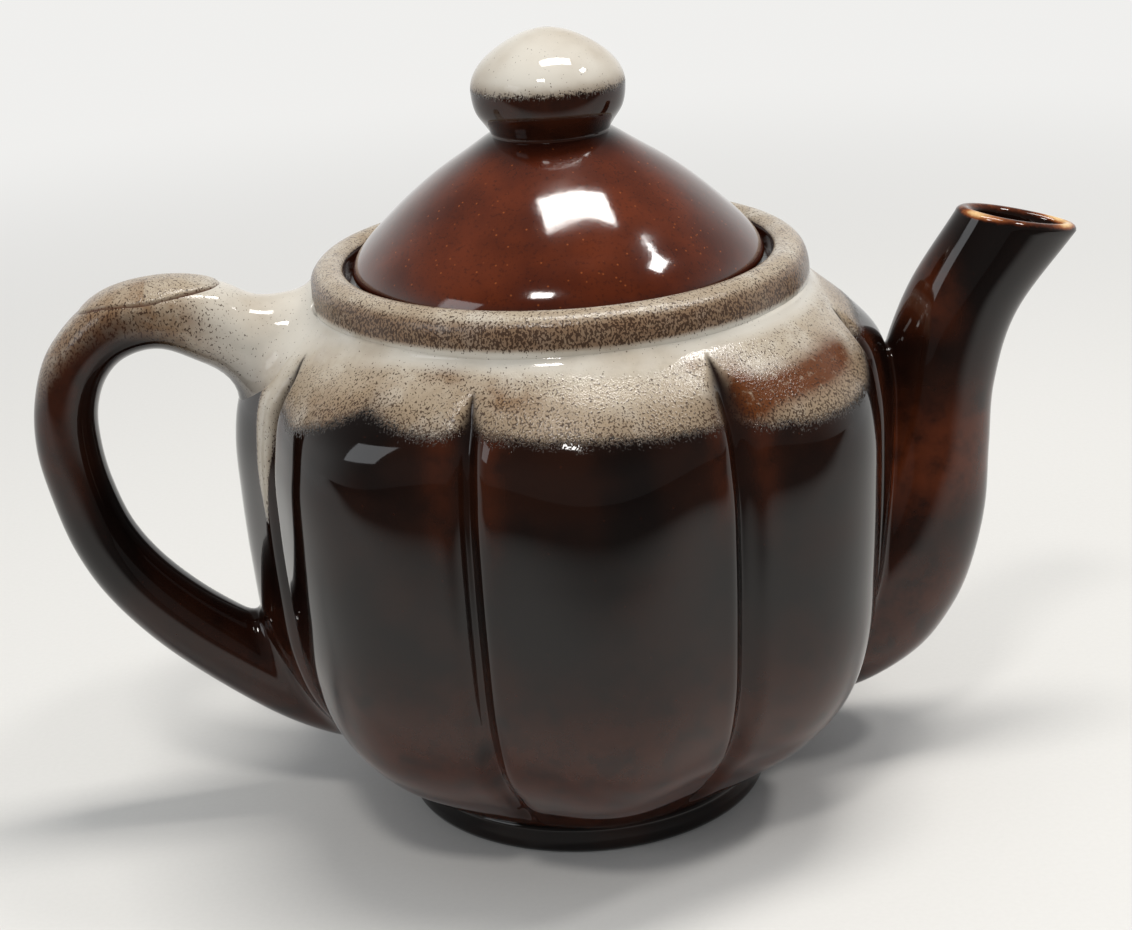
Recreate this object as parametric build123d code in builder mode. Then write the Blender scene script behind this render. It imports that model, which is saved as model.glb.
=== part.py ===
"""Stoneware teapot with a domed lid and a lift-out steel infuser basket.

Frame: origin at the centre of the foot's underside, +Z up, +X towards the spout.
Millimetres. The pot has eight lobes, one of them behind the spout and one behind the handle.
"""
import os
from math import cos, pi, radians, sin

from build123d import *

# ---- pot body -----------------------------------------------------------------------
foot_radius = 41.4
foot_height = 6.0
foot_ring_width = 8.0
foot_rounding = 1.5
bowl_radius, bowl_height = 59.3, 20.0
hip_radius, hip_height = 71.4, 44.0
belly_radius, belly_height = 73.5, 80.0
shoulder_radius, shoulder_height = 64.5, 108.0
neck_radius, neck_height = 54.3, 117.0
pot_wall = 5.0
lobe_count = 8
end_lobe_angle = 36.6
groove_depth = 5.5
groove_half_width = 9.5
luting_gap = 0.05

# ---- mouth --------------------------------------------------------------------------
throat_radius = 42.0
mouth_radius = 46.0
ledge_rise = 2.7
collar_radius = 55.3
collar_rise = 8.6
collar_lip_drop = 1.4

# ---- spout --------------------------------------------------------------------------
reach = 115.5
spout_wall = 3.0
spout_half_depth = 12.0
spout_half_width = 10.5
spout_root_height = 39.0
spout_mid_height = 75.0
lip_height = 122.6
lip_slope = 12.0
strainer_hole = 4.6
strainer_pitch = 7.5
strainer_height = 60.0

# ---- handle -------------------------------------------------------------------------
handle_half_depth = 6.9
handle_half_width = 8.6
handle_mid_height = 92.0
handle_top_height = 117.0
handle_low_height = 31.0
rest_length = 31.0
rest_width = 16.5
rest_thickness = 4.4
rest_edge = 3.4
rest_slope = 4.5
rest_rise = 5.8

# ---- lid ----------------------------------------------------------------------------
lid_gap = 1.7
lid_wall = 4.0
lid_edge_height = 3.3
lid_mid_radius, lid_mid_rise = 37.8, 11.1
lid_upper_radius, lid_upper_rise = 26.0, 21.3
lid_rise = 29.6
skirt_thickness = 3.0
skirt_depth = 8.5
skirt_chamfer = 0.75
knob_neck_radius = 12.8
knob_radius = 16.3
knob_height = 21.8
knob_widest = 9.2
knob_cove = 1.2
knob_crown = 2.6

# ---- infuser ------------------------------------------------------------------------
steel = 0.6
flange_thickness = 0.8
basket_clearance = 2.4
skirt_clearance = 1.5
flange_clearance = 0.8
seat_clearance = 0.1
band_depth = 17.0
basket_depth = 63.0
base_band_height = 5.0
base_thickness = 0.8
slot_columns = 24
slot_rows = 3
slot_width = 2.6
slot_height = 9.0
drain_hole = 3.2
drain_rings = 3
drain_ring_pitch = 10.0
drain_pitch = 10.5
bail_wire = 1.25
bail_clearance = 0.1
bail_drop = 4.7
bail_bend = 2.5
bail_side_gap = 0.8
pin_gap = 0.6
ear_radius = 3.0
ear_length = 3.5

# ---- worked out ---------------------------------------------------------------------
side_lobe_angle = (360 - 2 * end_lobe_angle) / (lobe_count - 2)
groove_angles = [end_lobe_angle / 2 + side_lobe_angle * i for i in range(lobe_count // 2)]
ledge_height = neck_height + ledge_rise
collar_top = neck_height + collar_rise
collar_lip = collar_top - collar_lip_drop
rest_height = handle_top_height + rest_rise
flange_bottom = ledge_height + seat_clearance
flange_top = flange_bottom + flange_thickness
lid_seat = flange_top + seat_clearance
lid_radius = mouth_radius - lid_gap
lid_top = lid_seat + lid_rise
basket_radius = throat_radius - basket_clearance
basket_inner = basket_radius - steel
skirt_radius = basket_inner - skirt_clearance
skirt_inner = skirt_radius - skirt_thickness
skirt_bottom = lid_seat - skirt_depth
band_bottom = flange_top - band_depth
basket_bottom = flange_top - basket_depth
wall_bottom = basket_bottom + base_thickness + base_band_height
pivot_height = skirt_bottom - bail_drop
arch_reach = skirt_inner - bail_wire - bail_side_gap
arch_radius = arch_reach - bail_bend


def parallel(line, inset, steps):
    """Points beside a profile line, moved towards the axis by inset(t)."""
    points = []
    for t in steps:
        here = line @ t
        along = line % t
        points.append(here - Vector(along.Z, 0, -along.X) * inset(t))
    return points


def ease(x):
    """Smooth step from 0 at x = 0 to 1 at x = 1."""
    x = min(1.0, max(0.0, x))
    return x * x * (3 - 2 * x)


def tube(path, size, inset, spans):
    """Oval tube along a path in the XZ plane. size(t) gives its half depth and half width."""
    with BuildPart() as form:
        for i in range(spans + 1):
            t = i / spans
            half_depth, half_width = size(t)
            with BuildSketch(Plane(origin=path @ t, x_dir=(0, 1, 0), z_dir=path % t)):
                Ellipse(half_width - inset, half_depth - inset)
        loft()
    return form.part


meridian = Spline(
    (foot_radius, 0, foot_height),
    (bowl_radius, 0, bowl_height),
    (hip_radius, 0, hip_height),
    (belly_radius, 0, belly_height),
    (shoulder_radius, 0, shoulder_height),
    (neck_radius, 0, neck_height),
)
meridian_steps = [i / 12 for i in range(13)]


def groove_inset(t):
    """Depth of the groove's floor along the meridian: it runs out past both ends."""
    rise = min(1.0, 1.6 * sin(pi * (0.03 + 0.98 * t)) - 0.25)
    return groove_depth * rise


def lobed_solid(inset):
    """The lobed body, moved inwards by inset and closed flat at its two ends."""
    side = [(p.X, p.Z) for p in parallel(meridian, lambda t: inset, meridian_steps)]
    floor_line = parallel(meridian, lambda t: inset + groove_inset(t), meridian_steps)
    with BuildPart() as lobed:
        with BuildSketch(Plane.XZ):
            with BuildLine():
                Spline(*side)
                Polyline(side[-1], (0, side[-1][1]), (0, side[0][1]), side[0])
            make_face()
        revolve(axis=Axis.Z)
        cutter = groove_tool(floor_line)
        cutters = [cutter.rotate(Axis.Z, side * a) for a in groove_angles for side in (1, -1)]
        add(cutters, mode=Mode.SUBTRACT)
    return lobed.part


def groove_tool(floor_line):
    """A V-shaped rod, bent along the floor of one groove."""
    path = Spline(*floor_line)
    start = Plane(origin=path @ 0, x_dir=(0, 1, 0), z_dir=path % 0)
    outward = 1 if start.y_dir.X > 0 else -1
    height = 2.2 * groove_depth
    half = groove_half_width * height / groove_depth
    with BuildPart() as tool:
        with BuildSketch(start):
            with BuildLine():
                Polyline((0, 0), (half, outward * height), (-half, outward * height), close=True)
            make_face()
        sweep(path=path)
    return tool.part


# ---- pot body: lobed shell, open at the throat, with the strainer behind the spout ----
outer_body = lobed_solid(0)
luting_face = lobed_solid(-luting_gap)
cavity_line = parallel(meridian, lambda t: pot_wall, meridian_steps)
cavity = lobed_solid(pot_wall)
strainer_places = [(0, 0)]
strainer_places += [(strainer_pitch * cos(radians(a)), strainer_pitch * sin(radians(a))) for a in range(0, 360, 60)]

with BuildPart() as pot_body:
    add(outer_body)
    add(cavity, mode=Mode.SUBTRACT)
    with BuildSketch(Plane.XY.offset(neck_height)):
        Circle(throat_radius)
    extrude(amount=-(neck_height - cavity_line[-1].Z + pot_wall), mode=Mode.SUBTRACT)
    with BuildSketch(Plane.YZ.offset(hip_radius - 3 * pot_wall)):
        with Locations((0, strainer_height)):
            with Locations(*strainer_places):
                Circle(strainer_hole / 2)
    extrude(amount=5 * pot_wall, mode=Mode.SUBTRACT)
pot_body.part.label = "pot_body"

# ---- collar: rolled ring round the mouth, with the ledge that carries the lid ----------
with BuildPart() as pot_collar:
    with BuildSketch(Plane.XZ):
        with BuildLine():
            Spline(
                (neck_radius, neck_height),
                (collar_radius, (neck_height + collar_lip) / 2),
                ((collar_radius + mouth_radius) / 2, collar_top),
                (mouth_radius, collar_lip),
            )
            Polyline(
                (mouth_radius, collar_lip),
                (mouth_radius, ledge_height),
                (throat_radius, ledge_height),
                (throat_radius, neck_height),
                (neck_radius, neck_height),
            )
        make_face()
    revolve(axis=Axis.Z)
pot_collar.part.label = "pot_collar"

# ---- foot: low ring with rounded edges -------------------------------------------------
with BuildPart() as pot_foot:
    with BuildSketch(Plane.XZ):
        with Locations((foot_radius - foot_ring_width / 2, foot_height / 2)):
            Rectangle(foot_ring_width, foot_height)
    revolve(axis=Axis.Z)
    fillet(pot_foot.edges().group_by(Axis.Z)[0], radius=foot_rounding)
pot_foot.part.label = "pot_foot"


# ---- spout: bored tube that swells into its root on the lobe ---------------------------
root_x = belly_radius - 2 * pot_wall
mid_x = belly_radius + 0.875 * spout_half_depth
tip_x = reach - spout_half_depth
root_rise = spout_mid_height - spout_root_height
lip_rise = lip_height - spout_mid_height
spout_path = Spline(
    (root_x - 1.8 * spout_half_depth, 0, spout_root_height - 0.14 * root_rise),
    (root_x, 0, spout_root_height),
    (mid_x - 0.5 * spout_half_depth, 0, spout_root_height + 0.42 * root_rise),
    (mid_x, 0, spout_mid_height),
    (mid_x + 0.3 * spout_half_depth, 0, spout_mid_height + 0.38 * lip_rise),
    (tip_x - 0.875 * spout_half_depth, 0, lip_height - spout_half_depth),
    (tip_x + 0.38 * spout_half_depth, 0, lip_height + 0.87 * spout_half_depth),
)
lip_plane = Plane(
    origin=(tip_x - spout_half_depth / 12, 0, lip_height),
    x_dir=(0, 1, 0),
    z_dir=(sin(radians(lip_slope)), 0, cos(radians(lip_slope))),
)


def spout_size(t):
    """Half depth and half width: a wide root, an even neck and a flared lip."""
    root = ease((0.5 - t) / 0.4)
    flare = ease((t - 0.6) / 0.5)
    return spout_half_depth * (1 + root + 0.25 * flare), spout_half_width * (1.05 + 0.4 * root - 0.1 * flare)


with BuildPart() as spout:
    add(tube(spout_path, spout_size, 0, 8))
    add(tube(spout_path, spout_size, spout_wall, 8), mode=Mode.SUBTRACT)
    split(bisect_by=lip_plane, keep=Keep.BOTTOM)
    add(luting_face, mode=Mode.SUBTRACT)
spout.part.label = "spout"

# ---- handle: oval loop, rooted on the shoulder and low on the body ---------------------
grip_x = -(reach - handle_half_depth)
grip_drop = handle_mid_height - handle_low_height
handle_path = Spline(
    (-(shoulder_radius - 0.35 * handle_half_depth), 0, handle_top_height - 1.6 * handle_half_depth),
    (-(shoulder_radius + 2.25 * handle_half_depth), 0, handle_top_height),
    (grip_x + 1.5 * handle_half_depth, 0, handle_top_height - 0.17 * handle_half_depth),
    (grip_x, 0, handle_mid_height),
    (grip_x + 0.87 * handle_half_depth, 0, handle_mid_height - 0.41 * grip_drop),
    (-(hip_radius + 1.07 * handle_half_depth), 0, handle_low_height + 1.26 * handle_half_depth),
    (-(bowl_radius - 1.35 * handle_half_depth), 0, handle_low_height - 1.16 * handle_half_depth),
)
rest_plane = Plane(
    origin=(grip_x + rest_length / 2 + 0.8 * handle_half_depth, 0, rest_height),
    x_dir=(cos(radians(rest_slope)), 0, sin(radians(rest_slope))),
    z_dir=(-sin(radians(rest_slope)), 0, cos(radians(rest_slope))),
)


def handle_size(t):
    """Half depth and half width: swollen at both roots and a little under the thumb rest."""
    top = ease((0.2 - t) / 0.22)
    thumb = ease(1 - abs(t - 0.2) / 0.16)
    low = ease(1 - abs(t - 0.86) / 0.32)
    half_depth = handle_half_depth * (1 + 0.9 * top + 0.08 * thumb + 0.33 * low)
    half_width = handle_half_width * (1 + 0.4 * top + 0.12 * thumb + 0.2 * low)
    return half_depth, half_width


with BuildPart() as handle:
    add(tube(handle_path, handle_size, 0, 12))
    split(bisect_by=rest_plane, keep=Keep.BOTTOM)
    add([luting_face, pot_collar.part], mode=Mode.SUBTRACT)
handle.part.label = "handle"

# ---- thumb rest: crowned oval pad on the flat of the handle ----------------------------
with BuildPart() as thumb_rest:
    with BuildSketch(rest_plane):
        Ellipse(rest_length / 2, rest_width / 2)
    extrude(amount=rest_thickness)
    pad_top = thumb_rest.faces().sort_by(Axis(rest_plane.origin, rest_plane.z_dir))[-1]
    fillet(pad_top.edges(), radius=rest_edge)
thumb_rest.part.label = "thumb_rest"

# ---- lid: hollow dome with a flat seat, a locating skirt and a turned knob --------------
dome_line = Spline(
    (lid_radius, 0, lid_seat + lid_edge_height),
    (lid_mid_radius, 0, lid_seat + lid_mid_rise),
    (lid_upper_radius, 0, lid_seat + lid_upper_rise),
    (knob_neck_radius, 0, lid_top),
)
dome_steps = [i / 6 for i in range(7)]
dome_inside = [(p.X, p.Z) for p in parallel(dome_line, lambda t: lid_wall, dome_steps) if p.X < skirt_inner]

with BuildPart() as lid_dome:
    with BuildSketch(Plane.XZ):
        with BuildLine():
            add(dome_line.moved(Location((0, 0, 0), (-90, 0, 0))))
            Polyline(
                (knob_neck_radius, lid_top),
                (0, lid_top),
                (0, lid_seat),
                (lid_radius, lid_seat),
                (lid_radius, lid_seat + lid_edge_height),
            )
        make_face()
    revolve(axis=Axis.Z)
    with BuildSketch(Plane.XZ):
        with BuildLine():
            inside = Spline((skirt_inner, lid_seat + lid_edge_height), *dome_inside)
            Polyline(inside @ 1, (0, (inside @ 1).Y), (0, lid_seat), (skirt_inner, lid_seat), inside @ 0)
        make_face()
    revolve(axis=Axis.Z, mode=Mode.SUBTRACT)
lid_dome.part.label = "lid_dome"

with BuildPart() as lid_skirt:
    with BuildSketch(Plane.XY.offset(skirt_bottom)):
        Circle(skirt_radius)
        Circle(skirt_inner, mode=Mode.SUBTRACT)
    extrude(amount=skirt_depth)
    chamfer(lid_skirt.edges().group_by(Axis.Z)[0], length=skirt_chamfer)
lid_skirt.part.label = "lid_skirt"

with BuildPart() as lid_knob:
    with BuildSketch(Plane.XZ):
        with BuildLine():
            Spline(
                (knob_neck_radius, lid_top),
                (knob_neck_radius + knob_cove, lid_top + knob_widest / 3.5),
                (knob_radius, lid_top + knob_widest),
                (0.55 * knob_radius, lid_top + knob_height - knob_crown),
                (0, lid_top + knob_height),
            )
            Polyline((0, lid_top + knob_height), (0, lid_top), (knob_neck_radius, lid_top))
        make_face()
    revolve(axis=Axis.Z)
lid_knob.part.label = "lid_knob"

# ---- infuser: flanged top band, perforated wall, base band, floor, ears and bail --------
with BuildPart() as infuser_rim:
    with BuildSketch(Plane.XY.offset(flange_bottom)):
        Circle(mouth_radius - flange_clearance)
        Circle(basket_inner, mode=Mode.SUBTRACT)
    extrude(amount=flange_thickness)
    with BuildSketch(Plane.XY.offset(band_bottom)):
        Circle(basket_radius)
        Circle(basket_inner, mode=Mode.SUBTRACT)
    extrude(amount=band_depth)
infuser_rim.part.label = "infuser_rim"

with BuildPart() as infuser_wall:
    with BuildSketch(Plane.XY.offset(wall_bottom)):
        Circle(basket_radius)
        Circle(basket_inner, mode=Mode.SUBTRACT)
    extrude(amount=band_bottom - wall_bottom)
    row_pitch = (band_bottom - wall_bottom) / slot_rows
    for row in range(slot_rows):
        with Locations(Plane.XY.offset(wall_bottom + (row + 0.5) * row_pitch)):
            with PolarLocations(basket_radius, slot_columns):
                Box(4 * steel, slot_width, slot_height, mode=Mode.SUBTRACT)
infuser_wall.part.label = "infuser_wall"

with BuildPart() as infuser_band:
    with BuildSketch(Plane.XY.offset(basket_bottom + base_thickness)):
        Circle(basket_radius + steel / 2)
        Circle(basket_inner, mode=Mode.SUBTRACT)
    extrude(amount=base_band_height)
infuser_band.part.label = "infuser_band"

with BuildPart() as infuser_base:
    with BuildSketch(Plane.XY.offset(basket_bottom)):
        Circle(basket_radius + steel / 2)
        for ring in range(1, drain_rings + 1):
            ring_radius = ring * drain_ring_pitch
            with PolarLocations(ring_radius, round(2 * pi * ring_radius / drain_pitch)):
                Circle(drain_hole / 2, mode=Mode.SUBTRACT)
    extrude(amount=base_thickness)
infuser_base.part.label = "infuser_base"

with BuildPart() as infuser_ears:
    for side in (1, -1):
        with BuildSketch(Plane.XZ.offset(-side * (basket_inner - ear_length))):
            with Locations((0, pivot_height)):
                Circle(ear_radius)
                Circle(bail_wire + bail_clearance, mode=Mode.SUBTRACT)
        extrude(amount=-side * 2 * ear_length)
    with BuildSketch(Plane.XY.offset(pivot_height - 2 * ear_radius)):
        Circle(basket_inner)
    extrude(amount=4 * ear_radius, mode=Mode.INTERSECT)
infuser_ears.part.label = "infuser_ears"

with BuildPart() as infuser_bail:
    pin_end = basket_inner - pin_gap
    elbow = arch_radius + bail_bend
    with BuildLine(Plane.YZ.offset(0)) as bail_path:
        left_pin = Line((-pin_end, pivot_height), (-elbow, pivot_height))
        left_bend = TangentArc(left_pin @ 1, (-arch_radius, pivot_height - bail_bend), tangent=left_pin % 1)
        arch = TangentArc(left_bend @ 1, (arch_radius, pivot_height - bail_bend), tangent=left_bend % 1)
        right_bend = TangentArc(arch @ 1, (elbow, pivot_height), tangent=arch % 1)
        Line(right_bend @ 1, (pin_end, pivot_height))
    with BuildSketch(Plane(origin=left_pin @ 0, z_dir=left_pin % 0)):
        Circle(bail_wire)
    sweep(path=bail_path.wires()[0])
infuser_bail.part.label = "infuser_bail"

pieces = [
    pot_body, pot_collar, pot_foot, spout, handle, thumb_rest,
    lid_dome, lid_skirt, lid_knob,
    infuser_rim, infuser_wall, infuser_band, infuser_base, infuser_ears, infuser_bail,
]
os.makedirs("parts", exist_ok=True)
for piece in pieces:
    export_step(piece.part, f"parts/{piece.part.label}.step")
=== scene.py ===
"""Looks of a lobed stoneware teapot with a drip glaze, a domed lid and a steel infuser basket.

Shapes are worked out in millimetres, with heights from the foot's underside, and are turned into
metres as each mesh is made. Angles start at the spout, +X, and grow towards +Y.
"""

import bmesh
import bpy
import numpy as np
from mathutils import Matrix, Vector


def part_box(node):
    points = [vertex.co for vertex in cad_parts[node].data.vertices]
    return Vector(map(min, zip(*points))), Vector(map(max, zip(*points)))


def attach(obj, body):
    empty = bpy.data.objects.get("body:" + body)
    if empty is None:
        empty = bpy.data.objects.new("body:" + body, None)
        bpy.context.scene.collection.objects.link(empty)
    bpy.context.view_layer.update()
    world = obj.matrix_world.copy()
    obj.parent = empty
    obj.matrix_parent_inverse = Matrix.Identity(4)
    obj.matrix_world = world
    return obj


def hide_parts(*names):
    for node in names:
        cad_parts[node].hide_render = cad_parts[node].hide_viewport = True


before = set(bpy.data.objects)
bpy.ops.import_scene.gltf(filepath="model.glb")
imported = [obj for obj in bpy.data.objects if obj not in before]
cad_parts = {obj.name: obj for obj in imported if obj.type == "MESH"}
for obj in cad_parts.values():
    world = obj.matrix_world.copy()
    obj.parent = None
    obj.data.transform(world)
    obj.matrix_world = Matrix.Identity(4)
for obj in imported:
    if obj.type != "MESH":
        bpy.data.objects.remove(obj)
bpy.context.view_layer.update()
MM = 0.001


def box_mm(node):
    """Lowest and highest corners of a CAD node, in millimetres."""
    low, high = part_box(node)
    return np.array(low) / MM, np.array(high) / MM


# ---- sizes taken from the frame ---------------------------------------------------------
_, foot_high = box_mm("pot_foot")
_, body_high = box_mm("pot_body")
dome_low, dome_high = box_mm("lid_dome")
skirt_low, skirt_high = box_mm("lid_skirt")
_, knob_high = box_mm("lid_knob")
basket_low, basket_high = box_mm("infuser_wall")

foot_top = foot_high[2]
foot_radius = foot_high[0]
neck_height = body_high[2]
lid_seat = dome_low[2]
lid_radius = dome_high[0]
lid_top = dome_high[2]
knob_top = knob_high[2]

# ---- sizes of the pot that its looks need -------------------------------------------------
lobe_count = 8
end_lobe = np.radians(36.6)
side_lobe = 2 * (np.pi - end_lobe) / (lobe_count - 2)
lobe_drop = 4.2
notch_depth = 2.9
notch_width = 2.3
wall = 5.0
throat_radius = 42.0
mouth_radius = 46.0
ledge_height = 119.7
foot_ring_width = 8.0
spout_wall = 3.0
strainer_height = 60.0
strainer_hole = 4.6
strainer_pitch = 7.5
spout_fillet = 3.2
lip_pinch = 0.30
skirt_wall = 3.0
pad_crown = 1.5
run_angle, run_width, run_drop = 165.5, 2.2, 26
fine_turn = 240

# Crest of a lobe from the foot to the neck, as (radius, height).
body_outline = [
    (41.2, foot_top), (49.6, 12), (59.3, 20), (67.2, 30.5), (71.5, 44), (73.0, 60),
    (73.6, 76), (73.3, 90), (70.6, 100.5), (64.4, 108), (58.6, 113.0), (55.3, 115.9), (53.9, neck_height + 1),
]


# ---- lines and meshes -----------------------------------------------------------------------
def ease(x, start, end):
    """0 before start, 1 after end, and a smooth step between them."""
    s = np.clip((np.asarray(x, float) - start) / (end - start), 0, 1)
    return s * s * (3 - 2 * s)


def hump(x, centre, width):
    """Bell curve of height 1."""
    return np.exp(-(((np.asarray(x, float) - centre) / width) ** 2))


def curve(points, shares):
    """A smooth curve through the points, at shares of the way from the first to the last."""
    p = np.asarray(points, float)
    spans = len(p) - 1
    along = np.clip(np.asarray(shares, float) * spans, 0, spans - 1e-9)
    i = along.astype(int)
    f = (along - i)[:, None]
    ends = np.vstack([2 * p[0] - p[1], p, 2 * p[-1] - p[-2]])
    a, b, c, d = ends[i], ends[i + 1], ends[i + 2], ends[i + 3]
    return 0.5 * (2 * b + (c - a) * f + (2 * a - 5 * b + 4 * c - d) * f**2 + (3 * b - a - 3 * c + d) * f**3)


def evenly(line, count):
    """The same line with count points, evenly spaced along it."""
    run = np.r_[0, np.cumsum(np.linalg.norm(np.diff(line, axis=0), axis=1))]
    at = np.linspace(0, run[-1], count)
    return np.stack([np.interp(at, run, line[:, k]) for k in range(line.shape[1])], axis=-1)


def smooth_line(points, count):
    return evenly(curve(points, np.linspace(0, 1, 40 * len(points))), count)


def ring_mesh(name, rows, caps=True, joined=False):
    """Closed mesh through rings of points: capped at its first and last ring, or joined into a loop."""
    rows = np.asarray(rows, float)
    count, around = rows.shape[:2]
    points = rows.reshape(-1, 3)
    k, n = np.meshgrid(np.arange(count if joined else count - 1), np.arange(around), indexing="ij")
    after, beside = (k + 1) % count, (n + 1) % around
    quads = np.stack([k * around + n, k * around + beside, after * around + beside, after * around + n], -1)
    faces = quads.reshape(-1, 4).tolist()
    if caps and not joined:
        for ring, centre in ((0, len(points)), (count - 1, len(points) + 1)):
            faces += [(ring * around + i, ring * around + (i + 1) % around, centre) for i in range(around)]
        points = np.vstack([points, rows[0].mean(0), rows[-1].mean(0)])
    mesh = bpy.data.meshes.new(name)
    mesh.from_pydata((points * MM).tolist(), [], faces)
    work = bmesh.new()
    work.from_mesh(mesh)
    bmesh.ops.recalc_face_normals(work, faces=work.faces)
    work.to_mesh(mesh)
    work.free()
    mesh.polygons.foreach_set("use_smooth", [True] * len(mesh.polygons))
    piece = bpy.data.objects.new(name, mesh)
    bpy.context.collection.objects.link(piece)
    return piece


def places(piece):
    """x, y and z of a piece's points, in millimetres."""
    flat = np.empty(3 * len(piece.data.vertices))
    piece.data.vertices.foreach_get("co", flat)
    return (flat.reshape(-1, 3) / MM).T


def paint(piece, **masks):
    """Stores one number for each point of the mesh under each name, for the materials to read."""
    for name, numbers in masks.items():
        layer = piece.data.attributes.new(name, "FLOAT", "POINT")
        layer.data.foreach_set("value", np.broadcast_to(numbers, len(piece.data.vertices)).astype(np.float32))


def dress(piece, material, slot, body, *nodes):
    """Gives a piece its material and its body, and hides the CAD nodes that it stands for; slot is not used.
    """
    piece.data.materials.append(material)
    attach(piece, body)
    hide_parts(*nodes)


def lathe(name, outline, around=192, closed=False):
    """A turned piece from an outline of (radius, height), closed to the axis or joined into a ring."""
    turn = np.linspace(0, 2 * np.pi, around, endpoint=False)
    outline = np.asarray(outline, float)
    rows = [np.stack([r * np.cos(turn), r * np.sin(turn), np.full(around, z)], -1) for r, z in outline]
    return ring_mesh(name, rows, caps=not closed, joined=closed)


# ---- the lobed wall ---------------------------------------------------------------------------
crest_line = smooth_line(body_outline, 132)
collar_outline = [
    (52.8, neck_height - 1.5), (53.7, neck_height + 0.6), (53.8, neck_height + 2.4),
    (53.5, neck_height + 4.6), (52.7, neck_height + 6.6), (51.0, neck_height + 8.1),
    (48.7, neck_height + 8.5), (46.7, neck_height + 7.7),
    (mouth_radius, neck_height + 6.4),
]


def lobe_place(angle):
    """Where an angle falls in its lobe, from -0.5 to 0.5 of the lobe's width, and that width."""
    away = np.abs(np.remainder(angle + np.pi, 2 * np.pi) - np.pi)
    end = np.minimum(away, np.pi - away)
    at_end = end < end_lobe / 2
    share = ((away - end_lobe / 2) / side_lobe) % 1 - 0.5
    return np.where(at_end, end / end_lobe, share), np.where(at_end, end_lobe, side_lobe)


def groove_gap(radius, angle):
    """Distance round the wall to the nearest groove."""
    share, width = lobe_place(angle)
    return (0.5 - np.abs(share)) * width * radius


def lobed(radius, height, angle):
    """The wall's radius at an angle, where the lobes' crests have the given radius."""
    swell = lobe_drop * ease(height, 2, 22) * (1 - ease(height, 92, 121))
    notch = notch_depth * ease(height, 5, 14) * (1 - ease(height, 103, 113.5))
    uneven = 0.22 * np.sin(3 * angle + height / 31) + 0.13 * np.sin(7 * angle - height / 17)
    share, _ = lobe_place(angle)
    sides = (1 - np.cos(2 * np.pi * share)) / 2
    return radius - 0.35 + uneven - swell * sides - notch * hump(groove_gap(radius, angle), 0, notch_width)


def wall_radius(height, angle):
    """Radius of the pot's outside, collar included, at a height and an angle."""
    crest = np.interp(height, crest_line[:, 1], crest_line[:, 0])
    rim = np.asarray(collar_outline[:5])
    collar = np.interp(height, rim[:, 1], rim[:, 0], left=0)
    return np.maximum(lobed(crest, height, angle), collar)


def lobe_angles(per_lobe):
    """Angles round the pot, closer together near the grooves."""
    share = np.arange(per_lobe) / per_lobe
    share -= 0.115 * np.sin(2 * np.pi * share)
    widths = [end_lobe] + [side_lobe] * 3 + [end_lobe] + [side_lobe] * 3
    starts = np.r_[0, np.cumsum(widths[:-1])] - end_lobe / 2
    return np.concatenate([start + width * share for start, width in zip(starts, widths)])


def ring(radius, height, angle):
    height = np.broadcast_to(height, angle.shape)
    return np.stack([radius * np.cos(angle), radius * np.sin(angle), height], -1)


# ---- drip glaze masks ----------------------------------------------------------------------------
# Lower edge of the pale glaze, as (degrees from the spout, height).
drip_line = [
    (0, 109), (10, 107.5), (18, 104), (30, 101), (40, 100), (51, 99.8), (59, 100.6), (66, 102.6), (84, 103.8),
    (94, 104.2), (107, 104.8), (114, 105.6), (119, 104.6), (126, 105.3),
    (130.5, 106.8), (133.5, 108), (136, 106.8),
    (143, 103.6), (151, 101), (159, 103), (163, 100), (168, 103), (172, 111), (180, 111),
]


def drip_edge(angle):
    """Height of the pale glaze's lower edge, which waves round the pot."""
    away = np.degrees(np.abs(np.arctan2(np.sin(angle), np.cos(angle))))
    far_side = (1.5 * np.sin(3 * angle + 0.4) + 0.8 * np.sin(11 * angle)) * (np.sin(angle) > 0)
    return np.interp(away, *zip(*drip_line)) + far_side * ease(away, 5, 25) * ease(180 - away, 5, 25)


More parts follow.
